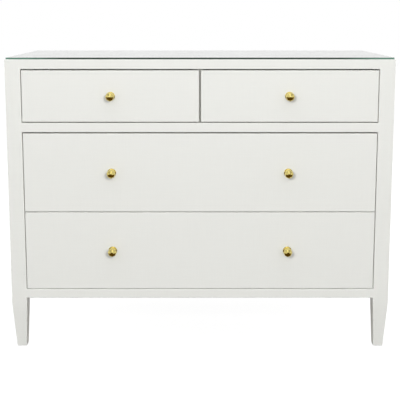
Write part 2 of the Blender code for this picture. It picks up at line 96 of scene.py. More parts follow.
def startTree(name, kind, inputs, outputs):
    # sockets come by kind: {"Float": ("Post", "Ease")}
    tree = bpy.data.node_groups.new(name, kind)
    for way, sockets in (("INPUT", inputs), ("OUTPUT", outputs)):
        for socketKind, labels in sockets.items():
            for label in labels:
                tree.interface.new_socket(label, in_out=way, socket_type="NodeSocket" + socketKind)
    return tree, tree.nodes.new("NodeGroupInput").outputs, tree.nodes.new("NodeGroupOutput").inputs


# effects that several finishes share
linenShape = {"facing": 0.6, "sideLayer": 7.0, "topLayer": 13.0, "crossLayer": 31.0, "detail": 3.0,
              "fray": 0.65, "weave": 0.12, "roughness": 0.40, "roughnessSpread": 0.25}


def buildLinen():
    # threads run both ways in the plane of each face: u across it, v up it
    shape = linenShape
    tree, given, result = startTree(
        "linen threads", "ShaderNodeTree",
        {"Color": ("Colour",), "Float": ("Thread", "Slub", "Run", "Contrast")},
        {"Color": ("Colour",), "Float": ("Height", "Roughness")})
    coords = addNode(tree, "ShaderNodeTexCoord").outputs
    x, y, z = addNode(tree, "ShaderNodeSeparateXYZ", {0: coords["Object"]}).outputs
    size = addNode(tree, "ShaderNodeVectorMath", {0: coords["Normal"]}, operation="ABSOLUTE").outputs[0]
    facing = addNode(tree, "ShaderNodeSeparateXYZ", {0: size}).outputs
    onSide = calc(tree, "GREATER_THAN", facing["X"], shape["facing"])
    onTop = calc(tree, "GREATER_THAN", facing["Z"], shape["facing"])
    u = calc(tree, "MULTIPLY_ADD", onSide, calc(tree, "SUBTRACT", y, x), x)
    v = calc(tree, "MULTIPLY_ADD", onTop, calc(tree, "SUBTRACT", y, z), z)
    layer = calc(tree, "MULTIPLY_ADD", onSide, shape["sideLayer"],
                 calc(tree, "MULTIPLY", onTop, shape["topLayer"]))
    streaks = []
    for along, across, shift in ((u, v, 0.0), (v, u, shape["crossLayer"])):
        place = vector(tree, calc(tree, "DIVIDE", along, given["Run"]),
                       calc(tree, "DIVIDE", across, given["Slub"]), calc(tree, "ADD", layer, shift))
        noise = addNode(tree, "ShaderNodeTexNoise", {"Vector": place, "Scale": 1.0,
                                                     "Detail": shape["detail"], "Roughness": shape["fray"]})
        streaks.append(noise.outputs[0])
    both = calc(tree, "SUBTRACT", calc(tree, "ADD", *streaks), 1.0)
    turns = []
    for way in (u, v):
        turn = calc(tree, "DIVIDE", calc(tree, "MULTIPLY", way, 2 * math.pi), given["Thread"])
        turns.append(calc(tree, "SINE", turn))
    weave = calc(tree, "MULTIPLY", *turns)
    shade = calc(tree, "MULTIPLY_ADD", both, given["Contrast"], 1.0)
    tinted = addNode(tree, "ShaderNodeVectorMath", {0: given["Colour"], "Scale": shade},
                     operation="SCALE")
    feed(tree, result["Colour"], tinted.outputs[0])
    feed(tree, result["Height"], calc(tree, "MULTIPLY_ADD", weave, shape["weave"], both))
    feed(tree, result["Roughness"],
         calc(tree, "MULTIPLY_ADD", both, shape["roughnessSpread"], shape["roughness"]))
    return tree


grainShape = {"swayScale": 3.0, "swayDetail": 2.0, "sway": 0.03, "figureLength": 0.35, "figureDetail": 3.0,
              "figureShare": 0.68, "poreLength": 0.03, "poreDetail": 2.0, "poreShare": 0.32, "fray": 0.55,
              "rampLow": 0.32, "rampHigh": 0.68, "roughness": 0.42, "roughnessSpread": 0.12}


def buildGrain():
    # Vector comes in with x along the grain
    shape = grainShape
    tree, given, result = startTree(
        "board grain", "ShaderNodeTree",
        {"Vector": ("Vector",), "Color": ("Light", "Dark"), "Float": ("Figure", "Pore")},
        {"Color": ("Colour",), "Float": ("Height", "Roughness")})
    x, y, z = addNode(tree, "ShaderNodeSeparateXYZ", {0: given["Vector"]}).outputs
    along = vector(tree, calc(tree, "MULTIPLY", x, shape["swayScale"]), 0.0, 0.0)
    sway = addNode(tree, "ShaderNodeTexNoise",
                   {"Vector": along, "Scale": 1.0, "Detail": shape["swayDetail"]})
    wander = calc(tree, "MULTIPLY", sway.outputs[0], shape["sway"])
    parts = []
    for width, length, detail in ((given["Figure"], shape["figureLength"], shape["figureDetail"]),
                                  (given["Pore"], shape["poreLength"], shape["poreDetail"])):
        place = vector(tree, calc(tree, "DIVIDE", x, length),
                       calc(tree, "DIVIDE", calc(tree, "ADD", y, wander), width),
                       calc(tree, "DIVIDE", calc(tree, "ADD", z, wander), width))
        parts.append(addNode(tree, "ShaderNodeTexNoise", {"Vector": place, "Scale": 1.0, "Detail": detail,
                                                          "Roughness": shape["fray"]}).outputs[0])
    figure, pores = parts
    mixed = calc(tree, "MULTIPLY_ADD", figure, shape["figureShare"],
                 calc(tree, "MULTIPLY", pores, shape["poreShare"]))
    ramp = addNode(tree, "ShaderNodeMapRange",
                   {"Value": mixed, "From Min": shape["rampLow"], "From Max": shape["rampHigh"]},
                   interpolation_type="SMOOTHSTEP").outputs[0]
    feed(tree, result["Colour"], blend(tree, ramp, given["Light"], given["Dark"]))
    feed(tree, result["Height"], calc(tree, "MULTIPLY", pores, -1.0))
    feed(tree, result["Roughness"],
         calc(tree, "MULTIPLY_ADD", ramp, shape["roughnessSpread"], shape["roughness"]))
    return tree


handlingShape = {"smudgeDetail": 3.0, "hairlineDetail": 2.0, "waver": 0.4}


def buildHandling():
    # faint smudges and hairline marks, for metal, glass and paint
    tree, given, result = startTree(
        "smudges and hairlines", "ShaderNodeTree",
        {"Float": ("Smudge", "Hairline"), "Vector": ("Along",)}, {"Float": ("Smudge", "Hairline")})
    place = addNode(tree, "ShaderNodeTexCoord").outputs["Object"]
    blot = addNode(tree, "ShaderNodeTexNoise",
                   {"Vector": place, "Scale": calc(tree, "DIVIDE", 1.0, given["Smudge"]),
                    "Detail": handlingShape["smudgeDetail"]})
    stretched = addNode(tree, "ShaderNodeVectorMath", {0: place, 1: given["Along"]},
                        operation="MULTIPLY")
    line = addNode(tree, "ShaderNodeTexNoise",
                   {"Vector": stretched.outputs[0], "Scale": calc(tree, "DIVIDE", 1.0, given["Hairline"]),
                    "Detail": handlingShape["hairlineDetail"], "Distortion": handlingShape["waver"]})
    feed(tree, result["Smudge"], blot.outputs[0])
    feed(tree, result["Hairline"], line.outputs[0])
    return tree


linenThreads = buildLinen()
boardGrain = buildGrain()
handling = buildHandling()


# finishes
def startFinish(name, **settings):
    finish = bpy.data.materials.new(name)
    finish.use_nodes = True
    shader = finish.node_tree.nodes["Principled BSDF"]
    for socket, value in settings.items():
        shader.inputs[socket.replace("_", " ")].default_value = value
    return finish, finish.node_tree, shader


def addGroup(tree, group, look, sockets):
    # a socket takes the value that the look has under the same word
    node = addNode(tree, "ShaderNodeGroup", node_tree=group)
    for socket in sockets:
        node.inputs[socket].default_value = look[socket.lower()]
    return node


def coverWith(tree, shader, look, colour, height, roughness):
    bump = addNode(tree, "ShaderNodeBump", {"Strength": look["bump"], "Distance": look["relief"],
                                            "Height": height})
    for socket, value in (("Base Color", colour), ("Roughness", roughness), ("Normal", bump.outputs[0])):
        feed(tree, shader.inputs[socket], value)


lacquerLook = {"colour": (0.835, 0.838, 0.800, 1), "thread": 0.0009, "slub": 0.0032, "run": 0.10,
               "contrast": 0.038, "bump": 0.16, "relief": 0.0003, "coat": 0.12, "coatRoughness": 0.25}


def makeLacquer():
    look = lacquerLook
    finish, tree, shader = startFinish("white linen lacquer", Coat_Weight=look["coat"],
                                       Coat_Roughness=look["coatRoughness"])
    linen = addGroup(tree, linenThreads, look, ("Colour", "Thread", "Slub", "Run", "Contrast"))
    coverWith(tree, shader, look, *linen.outputs)
    return finish


birchLook = {"light": (0.76, 0.60, 0.42, 1), "dark": (0.63, 0.46, 0.29, 1), "figure": 0.016,
             "pore": 0.0012, "bump": 0.2, "relief": 0.0002, "coat": 0.08}


def makeBirch(name, turn):
    finish, tree, shader = startFinish(name, Coat_Weight=birchLook["coat"])
    place = addNode(tree, "ShaderNodeTexCoord").outputs["Object"]
    turned = addNode(tree, "ShaderNodeMapping", {"Vector": place, "Rotation": (0, 0, math.radians(turn))})
    grain = addGroup(tree, boardGrain, birchLook, ("Light", "Dark", "Figure", "Pore"))
    feed(tree, grain.inputs["Vector"], turned.outputs[0])
    coverWith(tree, shader, birchLook, *grain.outputs)
    return finish


handledLooks = {
    "white board": {"bright": (0.79, 0.78, 0.74, 1), "dull": (0.765, 0.755, 0.715, 1), "metallic": 0.0,
                    "smooth": 0.5, "rough": 0.7, "smudge": 0.05, "hairline": 0.0013,
                    "along": (1.0, 1.0, 1.0), "bump": 0.12, "relief": 0.0003},
    "polished brass": {"bright": (0.88, 0.75, 0.27, 1), "dull": (0.72, 0.58, 0.18, 1), "metallic": 1.0,
                       "smooth": 0.05, "rough": 0.12, "smudge": 0.006, "hairline": 0.00035,
                       "along": (1.0, 1.0, 1.0), "bump": 0.03, "relief": 0.0001},
    "zinc plate": {"bright": (0.68, 0.70, 0.72, 1), "dull": (0.54, 0.56, 0.58, 1), "metallic": 1.0,
                   "smooth": 0.24, "rough": 0.42, "smudge": 0.015, "hairline": 0.0005,
                   "along": (1.0, 0.03, 1.0), "bump": 0.08, "relief": 0.0001},
}


def makeHandled(name):
    # smudges dull the colour, and hairlines roughen the surface
    look = handledLooks[name]
    finish, tree, shader = startFinish(name, Metallic=look["metallic"])
    smudge, hairline = addGroup(tree, handling, look, ("Smudge", "Hairline", "Along")).outputs
    roughness = calc(tree, "MULTIPLY_ADD", hairline, look["rough"] - look["smooth"], look["smooth"])
    coverWith(tree, shader, look, blend(tree, smudge, look["bright"], look["dull"]), hairline, roughness)
    return finish


glassLook = {"tint": (0.97, 0.995, 0.985, 1), "bending": 1.52, "smudge": 0.08,
             "wiped": {"From Min": 0.45, "From Max": 0.8, "To Min": 0.01, "To Max": 0.05},
             # the edge's green is painted paler towards the pane's ends, with a painted darker shade in the
             # middle
             "edge": (0.105, 0.215, 0.160, 1), "edgeDeep": (0.024, 0.040, 0.030, 1), "edgeRoughness": 0.12,
             "edgeSmudge": 0.03, "edgeSway": 0.04, "cornerReach": 0.16}


def makeGlass():
    look = glassLook
    finish, tree, shader = startFinish("clear glass", Transmission_Weight=1.0, IOR=look["bending"],
                                       Base_Color=look["tint"])
    marks = addGroup(tree, handling, look, ("Smudge",))
    wipe = addNode(tree, "ShaderNodeMapRange", {"Value": marks.outputs["Smudge"], **look["wiped"]})
    feed(tree, shader.inputs["Roughness"], wipe.outputs[0])
    clear = addNode(tree, "ShaderNodeBsdfTransparent")
    path = addNode(tree, "ShaderNodeLightPath").outputs
    through = addNode(tree, "ShaderNodeMixShader",
                      {0: path["Is Shadow Ray"], 1: shader.outputs[0], 2: clear.outputs[0]})
    feed(tree, tree.nodes["Material Output"].inputs["Surface"], through.outputs[0])
    return finish


def makeGlassEdge():
    look = glassLook
    finish, tree, shader = startFinish("green glass edge", Roughness=look["edgeRoughness"],
                                       IOR=look["bending"])
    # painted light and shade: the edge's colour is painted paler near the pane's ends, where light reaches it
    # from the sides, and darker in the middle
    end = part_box("glass_top")[1].x
    place = addNode(tree, "ShaderNodeTexCoord").outputs["Object"]
    across = calc(tree, "ABSOLUTE", addNode(tree, "ShaderNodeSeparateXYZ", {0: place}).outputs[0])
    marks = addNode(tree, "ShaderNodeGroup", {"Smudge": look["edgeSmudge"]}, node_tree=handling)
    uneven = calc(tree, "MULTIPLY_ADD", marks.outputs["Smudge"], look["edgeSway"], across)
    depth = addNode(tree, "ShaderNodeMapRange",
                    {"Value": uneven, "From Min": end, "From Max": end - look["cornerReach"]},
                    interpolation_type="SMOOTHSTEP")
    feed(tree, shader.inputs["Base Color"], blend(tree, depth.outputs[0], look["edge"], look["edgeDeep"]))
    return finish


lacquer = makeLacquer()
birchAlongY = makeBirch("birch, grain front to back", 90)
birchAlongX = makeBirch("birch, grain side to side", 0)
board = makeHandled("white board")
brass = makeHandled("polished brass")
zinc = makeHandled("zinc plate")
glass = makeGlass()
glassEdge = makeGlassEdge()
print("finishes made")


# helpers for meshes
meshLimits = {"weld": 0.00001, "cadWeld": 0.000001, "cadFlat": 1, "shellFlat": 0.3, "bevelAngle": 30}


def linkNew(name, data):
    holder = bpy.data.objects.new(name, data)
    bpy.context.scene.collection.objects.link(holder)
    return holder


def makePiece(name, mesh, looks, body, replaced=()):
    mesh.name = name
    if not mesh.materials:      # a tree's result already carries its finish
        for look in looks:
            mesh.materials.append(look)
    piece = linkNew(name, mesh)
    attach(piece, body)
    if replaced:
        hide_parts(*replaced)


def meshFrom(bm):
    bmesh.ops.recalc_face_normals(bm, faces=bm.faces)
    mesh = bpy.data.meshes.new("made")
    bm.to_mesh(mesh)
    bm.free()
    return mesh


def addBox(bm, low, high):
    corners = bmesh.ops.create_cube(bm, size=1.0)["verts"]
    for corner in corners:
        corner.co = [high[axis] if corner.co[axis] > 0 else low[axis] for axis in range(3)]


def addBand(bm, near, far):
    # faces between two rings of corners
    steps = [(index, (index + 1) % len(near)) for index in range(len(near))]
    return [bm.faces.new((near[index], near[following], far[following], far[index]))
            for index, following in steps]


def baked(mesh, setUp):
    # modifiers go on a helper object, which is removed once its result is a plain mesh
    helper = linkNew("helper", mesh)
    setUp(helper)
    view = bpy.context.evaluated_depsgraph_get()
    made = bpy.data.meshes.new_from_object(helper.evaluated_get(view))
    bpy.data.objects.remove(helper)
    return made


def runTree(tree, mesh, values):
    def setUp(helper):
        step = helper.modifiers.new(tree.name, "NODES")
        step.node_group = tree
        for socket in tree.interface.items_tree:
            if socket.in_out == "INPUT" and socket.name in values:
                step[socket.identifier] = values[socket.name]
    return baked(mesh, setUp)


def roundEdges(mesh, width, steps):
    def setUp(helper):
        rounding = helper.modifiers.new("rounded edges", "BEVEL")
        rounding.width = width
        rounding.segments = steps
        rounding.limit_method = "ANGLE"
        rounding.angle_limit = math.radians(meshLimits["bevelAngle"])
    return baked(mesh, setUp)


def merged(mesh, weld, flat):
    # flat neighbours become one face again
    bm = bmesh.new()
    bm.from_mesh(mesh)
    bmesh.ops.remove_doubles(bm, verts=bm.verts, dist=weld)
    bmesh.ops.dissolve_limit(bm, angle_limit=math.radians(flat), verts=bm.verts, edges=bm.edges)
    return bm


def label(name, part=""):
    words = name.replace("_drawer", "").split("_")
    return words[0] + "".join(word.title() for word in words[1:]) + part


def cadCopy(name):
    return merged(nodes[name].data, meshLimits["cadWeld"], meshLimits["cadFlat"])


def combined(mesh, tool, operation):
    # the exact boolean of two closed meshes
    cutter = linkNew("cutter", tool)

    def setUp(helper):
        step = helper.modifiers.new("combined", "BOOLEAN")
        step.operation = operation
        step.solver = "EXACT"
        step.object = cutter
    made = baked(mesh, setUp)
    bpy.data.objects.remove(cutter)
    return made


def dressed(tree, geometry, finish):
    return addNode(tree, "GeometryNodeSetMaterial", {"Geometry": geometry, "Material": finish}).outputs[0]


# the case's posts, legs, rails, side panels and top are one seamless lacquered shell
caseLook = {"outerTaper": 0.0100, "innerTaper": 0.0065, "taperEase": 0.040, "ringsPerLeg": 18,
            "overlap": 0.006, "edgeRound": 0.0016, "edgeSteps": 3}


def legTree():
    tree, given, result = startTree(
        "tapered legs", "GeometryNodeTree",
        {"Geometry": ("Geometry",), "Int": ("Rings",), "Material": ("Finish",),
         "Float": ("Post", "Leg Height", "Overlap", "Outer Taper", "Inner Taper", "Ease", "Spread X",
                   "Spread Y", "Middle Y")},
        {"Geometry": ("Geometry",)})
    tall = calc(tree, "ADD", given["Leg Height"], given["Overlap"])
    corners = addNode(tree, "GeometryNodeMeshGrid", {"Size X": given["Spread X"], "Size Y": given["Spread Y"],
                                                     "Vertices X": 2, "Vertices Y": 2})
    raised = addNode(tree, "GeometryNodeTransform", {
        "Geometry": corners.outputs[0],
        "Translation": vector(tree, 0.0, given["Middle Y"], calc(tree, "MULTIPLY", tall, 0.5))})
    blank = addNode(tree, "GeometryNodeMeshCube",
                    {"Size": vector(tree, given["Post"], given["Post"], tall),
                     "Vertices X": 2, "Vertices Y": 2, "Vertices Z": given["Rings"]})
    four = addNode(tree, "GeometryNodeInstanceOnPoints",
                   {"Points": raised.outputs[0], "Instance": blank.outputs[0]})
    solid = addNode(tree, "GeometryNodeRealizeInstances", {0: four.outputs[0]})
    x, y, z = addNode(tree, "ShaderNodeSeparateXYZ",
                      {0: addNode(tree, "GeometryNodeInputPosition").outputs[0]}).outputs
    # the taper sets in softly below the case, then runs straight to the foot
    depth = calc(tree, "MAXIMUM", calc(tree, "SUBTRACT", given["Leg Height"], z), 0.0)
    soft = calc(tree, "DIVIDE", calc(tree, "MULTIPLY", depth, depth),
                calc(tree, "MULTIPLY", given["Ease"], 2.0))
    straight = calc(tree, "MULTIPLY_ADD", given["Ease"], -0.5, depth)
    isStraight = calc(tree, "GREATER_THAN", depth, given["Ease"])
    run = calc(tree, "MULTIPLY_ADD", isStraight, calc(tree, "SUBTRACT", straight, soft), soft)
    share = calc(tree, "DIVIDE", run, calc(tree, "MULTIPLY_ADD", given["Ease"], -0.5, given["Leg Height"]))
    moves = []
    for place, spread in ((x, given["Spread X"]),
                          (calc(tree, "SUBTRACT", y, given["Middle Y"]), given["Spread Y"])):
        isOuter = calc(tree, "GREATER_THAN", calc(tree, "ABSOLUTE", place),
                       calc(tree, "MULTIPLY", spread, 0.5))
        both = calc(tree, "ADD", given["Outer Taper"], given["Inner Taper"])
        inward = calc(tree, "SUBTRACT", given["Inner Taper"], calc(tree, "MULTIPLY", isOuter, both))
        moves.append(calc(tree, "MULTIPLY", calc(tree, "MULTIPLY", calc(tree, "SIGN", place), inward), share))
    tapered = addNode(tree, "GeometryNodeSetPosition", {"Geometry": solid.outputs[0],
                                                        "Offset": vector(tree, moves[0], moves[1], 0.0)})
    union = addNode(tree, "GeometryNodeMeshBoolean", operation="UNION", solver="EXACT")
    union.inputs["Self Intersection"].default_value = True
    for part in (given["Geometry"], tapered.outputs[0]):
        tree.links.new(part, union.inputs["Mesh 2"])
    feed(tree, result["Geometry"], dressed(tree, union.outputs[0], given["Finish"]))
    return tree


def makeCaseShell():
    top, rail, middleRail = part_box("top_panel"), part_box("bottom_rail"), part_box("middle_rail")
    legNodes = ("front_left_leg", "front_right_leg", "rear_left_leg", "rear_right_leg")
    panelNodes = ("left_side_panel", "right_side_panel")
    legLow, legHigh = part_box("front_right_leg")
    legHeight = rail[0].z
    post = legHigh.x - legLow.x
    lap = caseLook["overlap"]
    low, high = top
    bm = bmesh.new()
    addBox(bm, low, high)
    for side in (-1, 1):
        xs = sorted((side * high.x, side * (high.x - post)))
        for ys in ((low.y, low.y + post), (high.y - post, high.y)):
            addBox(bm, (xs[0], ys[0], legHeight), (xs[1], ys[1], low.z + lap))
    for name in panelNodes:
        inner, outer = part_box(name)
        addBox(bm, (inner.x, low.y + post - lap, inner.z), (outer.x, high.y - post + lap, low.z + lap))
    for under, over in (rail, middleRail):
        reach = high.x - post + lap
        addBox(bm, (-reach, under.y, under.z), (reach, over.y, over.z))
    values = {"Post": post, "Leg Height": legHeight, "Overlap": lap, "Outer Taper": caseLook["outerTaper"],
              "Inner Taper": caseLook["innerTaper"], "Ease": caseLook["taperEase"],
              "Spread X": 2 * high.x - post, "Spread Y": high.y - low.y - post,
              "Middle Y": (low.y + high.y) / 2, "Rings": caseLook["ringsPerLeg"], "Finish": lacquer}
    shell = merged(runTree(legTree(), meshFrom(bm), values), meshLimits["weld"], meshLimits["shellFlat"])
    shell = roundEdges(meshFrom(shell), caseLook["edgeRound"], caseLook["edgeSteps"])
    makePiece("caseShell", shell, [lacquer], "case",
              ("top_panel", "bottom_rail", "middle_rail") + legNodes + panelNodes)


makeCaseShell()
print("case shell made")


# glass pane
paneLook = {"cornerRadius": 0.004, "cornerSteps": 8, "arris": 0.0007, "arrisSteps": 3}


def makePane():
    low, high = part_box("glass_top")
    middle = (low + high) / 2
    radius, arris = paneLook["cornerRadius"], paneLook["arris"]
    thick = high.z - low.z
    levels = []
    for step in range(paneLook["arrisSteps"] + 1):
        turn = math.radians(90) * step / paneLook["arrisSteps"]
        levels.append((arris * (1 - math.cos(turn)), arris * (1 - math.sin(turn))))
    levels += [(thick - height, inset) for height, inset in reversed(levels)]
    bm = bmesh.new()
    rings = []
    for height, inset in levels:
        ring = []
        for quarter, (side, end) in enumerate(((1, 1), (-1, 1), (-1, -1), (1, -1))):
            for step in range(paneLook["cornerSteps"] + 1):
                turn = math.radians(90) * (quarter + step / paneLook["cornerSteps"])
                ring.append(bm.verts.new((
                    middle.x + side * ((high.x - low.x) / 2 - radius) + (radius - inset) * math.cos(turn),
                    middle.y + end * ((high.y - low.y) / 2 - radius) + (radius - inset) * math.sin(turn),
                    low.z + height)))
        rings.append(ring)
    for under, over in zip(rings, rings[1:]):
        for face in addBand(bm, under, over):
            face.material_index = 1
    bm.faces.new(rings[0])
    bm.faces.new(rings[-1])
    makePiece("glassPane", meshFrom(bm), [glass, glassEdge], "case", ("glass_top",))


makePane()
print("glass pane made")


# brass knobs, each a turned rose and neck under a faceted ball, with its bolt behind
knobLook = {"roseRadius": 0.0130, "neckRadius": 0.0042, "ballCentre": 0.0210, "ballRadius": 0.0134,
            "ballSides": 8, "tiers": (18, 60, 88, 112, 136), "facetRound": 0.00022, "boltRadius": 0.0020,
            "boltHeadRadius": 0.0040, "boltHead": 0.0022, "roundSides": 64, "seatGap": 0.0003,
            "facetSteps": 2, "sharpAngle": 32,
            # the bolt's head: shares of its height and radius
            "headShape": ((1.0, 0.55), (0.82, 0.82), (0.4, 0.98)),
            # the rose: heights over the front, and shares of its radius
            "roseFoot": 0.975,
            "roseShape": ((0.0006, 1.0), (0.0014, 1.0), (0.0019, 0.985), (0.0023, 0.95), (0.0024, 0.86),
                          (0.0027, 0.83), (0.0031, 0.77), (0.0032, 0.70)),
            # the neck's flares: heights over the rose or depths under the ball, and what they add
            "lowFlare": ((0.0004, 0.0024), (0.0011, 0.0011), (0.0021, 0.0004), (0.0034, 0.0)),
            "highFlare": ((0.0030, 0.0), (0.0014, 0.0003), (0.0005, 0.0010), (0.0, 0.0021))}


def addRing(bm, reach, radius, sides):
    ring = []
    for index in range(sides):
        turn = 2 * math.pi * index / sides
        ring.append(bm.verts.new((radius * math.sin(turn), -reach, radius * math.cos(turn))))
    return ring


def knobProfile(frontThick):
    # heights over the drawer's front, and radii, from the bolt's head to the back of the ball
    look = knobLook
    gap, bolt, neck = look["seatGap"], look["boltRadius"], look["neckRadius"]
    back = -frontThick - gap
    ballBack = look["ballCentre"] + look["ballRadius"] * math.cos(math.radians(look["tiers"][-1]))
    profile = [(back - look["boltHead"], 0.0)]
    profile += [(back - look["boltHead"] * up, look["boltHeadRadius"] * out) for up, out in look["headShape"]]
    profile += [(back, look["boltHeadRadius"]), (back, bolt), (gap, bolt)]
    profile += [(gap, look["roseRadius"] * look["roseFoot"])]
    profile += [(up, look["roseRadius"] * out) for up, out in look["roseShape"]]
    roseTop = look["roseShape"][-1][0]
    profile += [(roseTop + up, neck + out) for up, out in look["lowFlare"]]
    return profile + [(ballBack - under, neck + out) for under, out in look["highFlare"]]


def knobMesh(frontThick):
    look = knobLook
    sides = look["roundSides"]
    bm = bmesh.new()
    rings = []
    for reach, radius in knobProfile(frontThick):
        rings.append(addRing(bm, reach, radius, sides) if radius else [bm.verts.new((0, -reach, 0))])
    for index in range(sides):
        bm.faces.new((rings[0][0], rings[1][index], rings[1][(index + 1) % sides]))
    for near, far in zip(rings[1:], rings[2:]):
        addBand(bm, near, far)
    # the ball: tiers of flat facets round a small table in front
    corners = look["ballSides"]
    tiers = []
    for angle in look["tiers"]:
        turn = math.radians(angle)
        tiers.append(addRing(bm, look["ballCentre"] + look["ballRadius"] * math.cos(turn),
                             look["ballRadius"] * math.sin(turn), corners))
    facets = [bm.faces.new(tiers[0])]
    for near, far in zip(tiers, tiers[1:]):
        facets += addBand(bm, near, far)
    ratio = sides // corners
    last = rings[-1]
    for index in range(corners):
        fan = [last[(index * ratio + step) % sides] for step in range(ratio + 1)]
        facets.append(bm.faces.new([tiers[-1][index], tiers[-1][(index + 1) % corners]] + fan[::-1]))
    flat = set(facets)
    for face in bm.faces:
        face.smooth = face not in flat
    arrises = [edge for edge in bm.edges if all(face in flat for face in edge.link_faces)]
    rounded = bmesh.ops.bevel(bm, geom=arrises, offset=look["facetRound"], segments=look["facetSteps"],
                              profile=0.5, affect="EDGES")
    for face in rounded["faces"]:
        face.smooth = False
    mesh = meshFrom(bm)
    mesh.set_sharp_from_angle(angle=math.radians(look["sharpAngle"]))
    return mesh


def makeKnobs():
    frontLow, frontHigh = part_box("lower_drawer_front")
    pattern = knobMesh(frontHigh.y - frontLow.y)
    for drawer in drawers:
        for name in [name for name in nodes if name.startswith(drawer) and name.endswith("knob")]:
            low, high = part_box(name)
            mesh = pattern.copy()
            mesh.transform(Matrix.Translation(((low.x + high.x) / 2, frontLow.y, (low.z + high.z) / 2)))
            makePiece(label(name), mesh, [brass], drawer, (name,))


makeKnobs()
print("knobs made")


# drawer boxes, where each side board is parted from the steel runner screwed to it
boxLook = {"topRound": 0.0014, "roundSteps": 3, "apart": 0.00005, "shortestEdge": 0.1}


def easeTop(bm):
    # rounds the long upper edges
    top = max(corner.co.z for corner in bm.verts) - meshLimits["weld"]
    edges = []
    for edge in bm.edges:
        first, second = (corner.co for corner in edge.verts)
        if min(first.z, second.z) > top and abs(first.y - second.y) > boxLook["shortestEdge"]:
            edges.append(edge)
    bmesh.ops.bevel(bm, geom=edges, offset=boxLook["topRound"], segments=boxLook["roundSteps"], profile=0.5,
                    affect="EDGES")


def keepFaces(bm, wanted):
    bmesh.ops.delete(bm, geom=[face for face in bm.faces if not wanted(face)], context="FACES")
    openEdges = [edge for edge in bm.edges if edge.is_boundary]
    bmesh.ops.holes_fill(bm, edges=openEdges, sides=0)
    bmesh.ops.dissolve_limit(bm, angle_limit=math.radians(meshLimits["cadFlat"]), verts=bm.verts,
                             edges=bm.edges)


def makeBoxes():
    for drawer in drawers:
        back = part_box(f"{drawer}_back")
        for side, sideName in bothSides:
            name = f"{drawer}_{sideName}_side"
            face = back[1].x if side > 0 else back[0].x     # the box's outer plane

            def isRunner(facet):
                return (facet.calc_center_median().x - face) * side > boxLook["apart"]
            bm = cadCopy(name)
            keepFaces(bm, lambda facet: not isRunner(facet))
            easeTop(bm)
            makePiece(label(f"{drawer}_{sideName}", "SideBoard"), meshFrom(bm), [birchAlongY], drawer,
                      (name,))
            bm = cadCopy(name)
            keepFaces(bm, isRunner)
            makePiece(label(f"{drawer}_{sideName}", "Runner"), meshFrom(bm), [zinc], drawer)


makeBoxes()
print("drawer boxes made")


# drawer fronts, with finer edges than the solids have
frontLook = {"edgeRound": 0.0016, "edgeSteps": 4, "spare": 0.0002}


def makeFronts():
    for drawer in drawers:
        name = f"{drawer}_front"
        low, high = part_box(name)
        bm = bmesh.new()
        addBox(bm, low, high)
        rounded = roundEdges(meshFrom(bm), frontLook["edgeRound"], frontLook["edgeSteps"])
        # the solid's sockets, groove and holes are kept: its copy, grown a little, trims the rounded board
        bm = cadCopy(name)
        for corner in bm.verts:
            for axis in range(3):
                for face, way in ((low[axis], -1), (high[axis], 1)):
                    if abs(corner.co[axis] - face) < frontLook["spare"] / 4:
                        corner.co[axis] = face + way * frontLook["spare"]
        made = combined(rounded, meshFrom(bm), "INTERSECT")
        makePiece(label(drawer, "Front"), made, [lacquer], drawer, (name,))


makeFronts()
print("drawer fronts made")


# slides: bent middle members, and caged balls between the members
slideLook = {"steel": 0.0012, "flange": 0.0178, "bend": 0.0006, "bendSteps": 4, "ballPlace": 0.0045,
             "ballRadius": 0.0016, "ballSides": 8, "ballRings": 6, "pitch": 0.011, "balls": 17,
             "stripWidth": 0.0046, "strip": 0.0005, "rows": (0.01955, 0.01485), "rowShares": (0.75, 0.25)}


def addPrism(bm, outline, ys):
    # an outline across the dresser, carried along y, and the edges that run along
    rings = [[bm.verts.new((x, y, z)) for x, z in outline] for y in ys]
    bm.faces.new(rings[0])
    bm.faces.new(rings[1])
    addBand(bm, *rings)
    return [bm.edges.get((near, far)) for near, far in zip(*rings)]


def makeMiddleMember(name, side, body):
    low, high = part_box(name)
    level = (low.z + high.z) / 2
    web, mouth = (high.x, low.x) if side > 0 else (low.x, high.x)
    inner = web - side * slideLook["steel"]
    tall = slideLook["flange"]
    short = tall - slideLook["steel"]
    outline = [(web, level - tall), (mouth, level - tall), (mouth, level - short), (inner, level - short),
               (inner, level + short), (mouth, level + short), (mouth, level + tall), (web, level + tall)]
    bm = bmesh.new()
    edges = addPrism(bm, outline, (low.y, high.y))
    for picked, radius in (((0, 7), slideLook["bend"] + slideLook["steel"]), ((3, 4), slideLook["bend"])):
        bmesh.ops.bevel(bm, geom=[edges[index] for index in picked], offset=radius,
                        segments=slideLook["bendSteps"], profile=0.5, affect="EDGES")
    makePiece(label(name), meshFrom(bm), [zinc], body, (name,))


